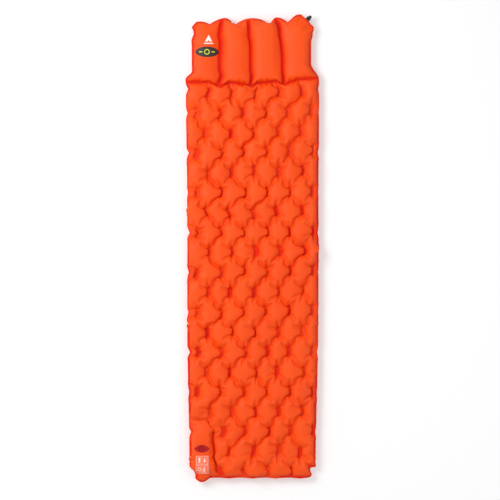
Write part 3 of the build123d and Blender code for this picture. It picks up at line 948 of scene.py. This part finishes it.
def fabric_material():
    """Coated nylon: fine crossing threads, soft crinkles, and smoother, deeper-coloured welds. The
    welds' deep red runs up into the valleys round them as painted shade, and they glow faintly red as
    painted light.
    """
    shader = Shader("coated_nylon")
    patches = shader.noise(9.0, 4.0)
    crinkle = shader.noise(120.0, 5.0, (1.0, 0.6, 1.0))
    weld = shader.node("ShaderNodeAttribute", attribute_name="weld").outputs["Fac"]
    weave = shader.weave()
    tone = shader.ramp(patches, 0.3, 0.7, 0.0, 0.18)
    cloth = shader.mix(tone, FABRIC, FABRIC_DEEP)
    # Painted shade: the weld attribute mixes in the deep red, on the welds and up into the valleys
    # round them
    cloth = shader.mix(shader.math("MULTIPLY", weld, 0.9), cloth, FABRIC_DEEP)
    rough = shader.math("SUBTRACT", shader.ramp(crinkle, 0.2, 0.8, 0.44, 0.58),
                        shader.math("MULTIPLY", weld, 0.10))
    relief = shader.bump(crinkle, 0.0008, 0.35)
    relief = shader.bump(weave, 0.0002, 0.35, relief)
    sockets = shader.surface.inputs
    shader.wire(shader.ramp(weld, 0.0, 1.0, 0.22, 0.04), sockets["Specular IOR Level"])
    # Painted light: the welds and the valleys round them glow faintly red
    shader.wire(shader.ramp(weld, 0.1, 1.0, 0.0, WELD_GLOW), sockets["Emission Strength"])
    return shader.finish(cloth, rough, relief, Emission_Color=GLOW_COLOUR)


def moulded_material(name, colour, roughness):
    """Moulded plastic or rubber with a fine spark-eroded grain and faint wear."""
    shader = Shader(name)
    fine = shader.noise(2400.0, 2.0)
    wear = shader.noise(90.0, 4.0)
    lighter = tuple(min(1.0, 1.35 * part + 0.004) for part in colour)
    tint = shader.mix(shader.ramp(wear, 0.45, 0.75, 0.0, 0.6), colour, lighter)
    rough = shader.ramp(wear, 0.3, 0.7, roughness - 0.05, roughness + 0.08)
    return shader.finish(tint, rough, shader.bump(fine, 0.00006, 0.5), Specular_IOR_Level=0.2)


def foam_material():
    """Open-cell foam."""
    shader = Shader("open_cell_foam")
    cells = shader.node("ShaderNodeTexVoronoi")
    cells.inputs["Scale"].default_value = 700.0
    shader.wire(shader.place, cells.inputs["Vector"])
    tint = shader.mix(cells.outputs["Distance"], (0.80, 0.72, 0.50), (0.93, 0.88, 0.70))
    return shader.finish(tint, 0.95, shader.bump(cells.outputs["Distance"], 0.0006, 0.8))


def print_material(name, colour, worn=(1.0, 0.30, 0.14), wear=0.5):
    """Screen-printed ink on the fabric, thin enough in places for the cloth to show."""
    shader = Shader(name)
    patches = shader.noise(420.0, 4.0)
    weave = shader.weave()
    tint = shader.mix(shader.ramp(patches, 0.5, 0.75, 0.0, wear), colour, worn)
    return shader.finish(tint, 0.55, shader.bump(weave, 0.0002, 0.25))


def give(piece, material):
    piece.data.materials.clear()
    piece.data.materials.append(material)


def dress(piece, material, slot, *nodes):
    """Gives a piece its material and hides the CAD nodes that it stands in for. The slot argument is
    not used.
    """
    give(piece, material)
    if nodes:
        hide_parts(*nodes)


# --- Pieces on the pillow ---


def pillow_prints(surface, materials):
    """The badge, a sun on a dark oval, and the tent emblem."""
    badge, emblem = centre_of("pillow_badge"), centre_of("pillow_emblem")
    low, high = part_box("pillow_badge")
    half_x, half_y = (high.x - low.x) / 2, (high.y - low.y) / 2

    def oval(x, y):
        return half_y * (np.hypot(x / half_x, y / half_y) - 1)

    def sun(x, y):
        rays = rounded_box(abs(x) - 0.025, y, 0.007, 0.0022, 0.0021)
        return np.minimum(ring(x, y, 0.0095, 0.0036), rays)

    def tent(x, y):
        outer = np.maximum(-y - 0.011, 0.88 * abs(x) + 0.47 * y - 0.0075)
        door = np.maximum(-y - 0.011, 0.93 * abs(x) + 0.37 * y + 0.0012)
        ground = rounded_box(x, y + 0.0185, 0.019, 0.0021, 0.0015)
        return np.minimum(np.maximum(outer, -door), ground)

    for ink, node, outline, centre, reach, settings in (
        ("dark", "pillow_badge", oval, badge, (half_x + 0.003, half_y + 0.003),
         {"name": "badge_panel", "lift": 0.0001, "thickness": 0.00025}),
        ("yellow", "pillow_badge_mark", sun, badge, (0.034, 0.014),
         {"name": "badge_mark", "lift": 0.0004, "thickness": INK, "pitch": FINE_PITCH}),
        ("light", "pillow_emblem", tent, emblem, (0.022, 0.024),
         {"name": "tent_emblem", "lift": 0.0001, "thickness": INK, "pitch": FINE_PITCH}),
    ):
        piece = film(outline=outline, centre=centre, reach=reach, surface=surface, **settings)
        dress(piece, materials[ink], f"print_{ink}", node)
        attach(piece, "pillow")


# --- Pump ---


def lathe(name, profile, centre, segments=72):
    """A closed ring turned about a vertical axis from (radius, height) points."""
    count = len(profile)
    angles = np.linspace(0, 2 * math.pi, segments, endpoint=False)
    points = [(centre[0] + r * math.cos(a), centre[1] + r * math.sin(a), centre[2] + z)
              for a in angles for r, z in profile]
    faces = []
    for k in range(segments):
        here, there = k * count, (k + 1) % segments * count
        for i in range(count):
            j = (i + 1) % count
            faces.append((here + i, there + i, there + j, here + j))
    return new_mesh(name, np.array(points), faces)


def soften(piece, width):
    """Rounds the piece's edges."""
    edge = piece.modifiers.new("edges", "BEVEL")
    edge.width = width
    edge.segments = 2
    edge.limit_method = "ANGLE"
    return bake(piece)


def height_at(surface, x, y):
    """Height of the upper sheet over a point, or the seam's height beyond the fabric."""
    hit = surface.ray_cast(Vector((x, y, 1.0)), Vector((0, 0, -1)))[0]
    return hit.z if hit else SEAM_Z * MM


# The inlet's moulded ring, as (radius, height) above the crown of the bladder
PORT_PROFILE = ((0.0105, -0.006), (0.0145, -0.006), (0.0145, 0.0006), (0.0135, 0.0022),
                (0.0118, 0.0026), (0.0105, 0.0018))
PORT_SINK, PORT_ROUND = 0.0005, 0.0004
BESIDE_PORT = 0.016


def pump_pieces(pieces, surface, materials):
    """What the pump's stroke moves: the bladder, the inlet and its patch, the panel and the foam."""
    crown = height_at(surface, INLET[0] + BESIDE_PORT, INLET[1])
    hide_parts("pump_cover")

    def wing(x, y):
        lens = np.hypot(x, abs(y) + 0.0245) - 0.0395
        hole = PORT_HOLE + 0.001 - np.hypot(x, y)
        return np.maximum(lens, hole)

    def circle(x, y):
        return ring(x, y, 0.0255, 0.0016)

    patch = film("inlet_patch", wing, INLET, (0.034, 0.018), surface, lift=0.0004, thickness=0.0006)
    dress(patch, materials["ring"], "pump_ring")
    weld_ring = film("inlet_weld_ring", circle, INLET, (0.028, 0.028), surface, lift=0.0002,
                     thickness=0.0003, pitch=0.001)
    dress(weld_ring, materials["fabric"], "pump_fabric")
    port = lathe("inlet_port", PORT_PROFILE, (*INLET, crown - PORT_SINK))
    soften(port, PORT_ROUND)
    dress(port, materials["ring"], "pump_ring", "pump_inlet_ring")
    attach(port, "pump_cover")
    soft = [pieces["pump_bladder"], patch, weld_ring, *label_pieces(surface, materials)]
    for piece in (*soft, foam_piece(surface, materials)):
        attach(piece, "pad")
        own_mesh(piece)


LABEL_HEM = 0.006


def label_pieces(surface, materials):
    """The printed panel: a pale ground with two framed pictograms, a sole and an arrow."""
    low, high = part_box("pump_label")
    low.y -= LABEL_HEM
    centre = ((low.x + high.x) / 2, (low.y + high.y) / 2)
    half = ((high.x - low.x) / 2, (high.y - low.y) / 2)

    def frames(x, y):
        panes = [rounded_box(x, y - middle, half[0] - 0.003, half[1] / 2 - 0.0025, 0.002)
                 for middle in (half[1] / 2, -half[1] / 2)]
        return least(*[abs(pane) - 0.0006 for pane in panes])

    def sole(x, y):
        ball = np.hypot(x / 0.75, y - 0.005) - 0.0062
        heel = np.hypot(x / 0.8, y + 0.0065) - 0.0042
        waist = rounded_box(x, y, 0.0030, 0.006, 0.0015)
        return least(ball, heel, waist)

    def arrow(x, y):
        shaft = rounded_box(x, y - 0.003, 0.0016, 0.006, 0.0005)
        tip = np.maximum(y + 0.001, 0.8 * abs(x) - 0.6 * (y + 0.0095))
        return np.minimum(shaft, tip)

    def pictograms(x, y):
        upper, lower = y - 0.5 * half[1], y + 0.5 * half[1]
        bar = rounded_box(x - 0.006, lower + 0.0105, 0.009, 0.0009, 0.0006)
        circle = ring(x + 0.010, lower, 0.0062, 0.0022)
        return least(sole(x + 0.011, upper), arrow(x - 0.010, upper), circle,
                     arrow(x - 0.008, lower - 0.001), bar, frames(x, y))

    panel = film("label_panel", lambda x, y: rounded_box(x, y, *half, 0.003), centre,
                 (half[0] + 0.002, half[1] + 0.002), surface, lift=0.0003, thickness=INK)
    dress(panel, materials["label"], "print_light", "pump_label")
    marks = film("label_pictograms", pictograms, centre, half, surface, lift=0.0005, thickness=INK,
                 pitch=0.0007)
    dress(marks, materials["ink"], "print_light")
    return [panel, marks]


FOAM_COLUMNS, FOAM_ROWS = 24, 58
FOAM_GAP, FOAM_LEAST, FOAM_FLOOR = 0.004, 0.0015, 0.0005
FOAM_REACH = 2
FOAM_WELL = 0.024


def foam_piece(surface, materials):
    """The foam block inside the pump, a little smaller than its pocket, cut away under the inlet."""
    low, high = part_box("pump_foam")
    seam = SEAM_Z * MM
    x, y = np.meshgrid(np.linspace(low.x, high.x, FOAM_COLUMNS), np.linspace(low.y, high.y, FOAM_ROWS))
    rise = np.array([[height_at(surface, a, b) - seam for a, b in zip(*line)]
                     for line in zip(x, y)])
    around = np.pad(rise, FOAM_REACH)
    steps = range(2 * FOAM_REACH + 1)
    rise = least(*[around[i:i + FOAM_ROWS, j:j + FOAM_COLUMNS] for i in steps for j in steps])
    rise = np.maximum(rise - FOAM_GAP, 0)
    well = np.hypot(x - INLET[0], y - INLET[1]) < FOAM_WELL
    sides = (seam + rise, seam - np.maximum(rise, FOAM_FLOOR))
    points = np.concatenate([np.stack([x, y, z], -1).reshape(-1, 3) for z in sides])
    upper = grid_faces((rise > FOAM_LEAST) & ~well)
    down = x.size
    edges = {(a, b) for face in upper for a, b in zip(face, face[1:] + face[:1])}
    rim = sorted((a, b) for a, b in edges if (b, a) not in edges)
    faces = upper + [tuple(i + down for i in face[::-1]) for face in upper]
    faces += [(b, a, a + down, b + down) for a, b in rim]
    foam = new_mesh("foam_block", points, faces)
    dress(foam, materials["foam"], "foam", "pump_foam")
    return foam


# --- Camera, light and floor ---


FLOOR_HALF, FLOOR_LEVEL = 60.0, -0.0005
ROOM_LIGHT = 0.66
LIGHTS = (("key", (-2.3, 1.3, 3.0), 1.8, 95), ("fill", (1.8, -1.0, 2.4), 2.4, 14))
LENS, SENSOR = 180.0, 36.0
VIEW_CENTRE, VIEW_SIZE = (-0.010, -0.006), 2.040


def stage():
    """A pale floor, even light from all round, and two large lamps."""
    corners = ((-1, -1), (1, -1), (1, 1), (-1, 1))
    mesh = bpy.data.meshes.new("floor")
    mesh.from_pydata([(x * FLOOR_HALF, y * FLOOR_HALF, FLOOR_LEVEL) for x, y in corners], [],
                     [(0, 1, 2, 3)])
    floor = bpy.data.objects.new("floor", mesh)
    bpy.context.scene.collection.objects.link(floor)
    give(floor, Shader("floor").finish((0.65, 0.65, 0.65), 0.9, Emission_Color=(1, 1, 1, 1),
                                       Emission_Strength=0.3))

    world = bpy.data.worlds.new("studio")
    world.use_nodes = True
    tree = world.node_tree
    seen = tree.nodes.new("ShaderNodeLightPath").outputs["Is Camera Ray"]
    strength = tree.nodes.new("ShaderNodeMapRange")
    strength.inputs["To Min"].default_value = ROOM_LIGHT
    tree.links.new(seen, strength.inputs["Value"])
    background = tree.nodes["Background"]
    background.inputs["Color"].default_value = (1, 1, 1, 1)
    tree.links.new(strength.outputs["Result"], background.inputs["Strength"])
    bpy.context.scene.world = world
    bpy.context.scene.view_settings.view_transform = "Standard"

    for name, place, size, power in LIGHTS:
        light = bpy.data.lights.new(name, "AREA")
        light.size = size
        light.energy = power
        lamp = bpy.data.objects.new(name, light)
        lamp.location = place
        lamp.rotation_euler = (-Vector(place)).to_track_quat("-Z", "Y").to_euler()
        bpy.context.scene.collection.objects.link(lamp)


def camera():
    """Straight down from high up, with the pad filling most of the frame's height."""
    data = bpy.data.cameras.new("camera")
    data.sensor_width = SENSOR
    data.lens = LENS
    made = bpy.data.objects.new("camera", data)
    made.location = (*VIEW_CENTRE, VIEW_SIZE * LENS / SENSOR)
    data.clip_end = 100.0
    bpy.context.scene.collection.objects.link(made)
    bpy.context.scene.camera = made


# --- Build ---


def build():
    materials = {
        "fabric": fabric_material(),
        "ring": moulded_material("inlet_tpu", (0.42, 0.006, 0.008), 0.6),
        "flap": moulded_material("flap_rubber", (0.34, 0.008, 0.010), 0.5),
        "valve": moulded_material("valve_tpu", (0.012, 0.020, 0.016), 0.45),
        "cap": moulded_material("cap_plastic", (0.010, 0.035, 0.028), 0.32),
        "seal": moulded_material("seal_rubber", (0.02, 0.02, 0.02), 0.6),
        "foam": foam_material(),
        "light": print_material("print_light", (0.93, 0.90, 0.86), wear=0.15),
        "dark": print_material("print_dark", (0.020, 0.014, 0.012), (0.10, 0.05, 0.03), 0.4),
        "yellow": print_material("print_yellow", (0.66, 0.72, 0.05), (0.5, 0.45, 0.05), 0.4),
        "label": print_material("print_label", (0.93, 0.16, 0.075), (0.98, 0.24, 0.14), 0.8),
        "ink": print_material("print_ink", (0.98, 0.72, 0.62), (0.96, 0.22, 0.12), 0.9),
    }
    pattern, place = inflated_sheet()
    pieces, surface = sheet_pieces(pattern, fitted(pattern, place))
    for piece in pieces.values():
        dress(piece, materials["fabric"], "shell_fabric")
    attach(pieces["pump_weld_tape"], "pad")
    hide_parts("pump_partition")
    for side, short in (("upper", "top"), ("lower", "bottom")):
        sheet = pieces[f"{side}_sheet"]
        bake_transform(sheet)
        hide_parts(f"body_{short}_sheet", f"pillow_{short}_sheet")
    pump_pieces(pieces, surface, materials)
    pillow_prints(surface, materials)
    for key, nodes in (("valve", ("valve_boat", "valve_barrel")), ("cap", ("valve_cap",)),
                       ("seal", ("valve_o_ring", "valve_plug_seal")),
                       ("flap", ("pump_inlet_flap", "pump_outlet_flap")),
                       ("ring", ("pump_outlet_ring",))):
        for node in nodes:
            give(frame["nodes"][node], materials[key])
    stage()
    camera()


build()
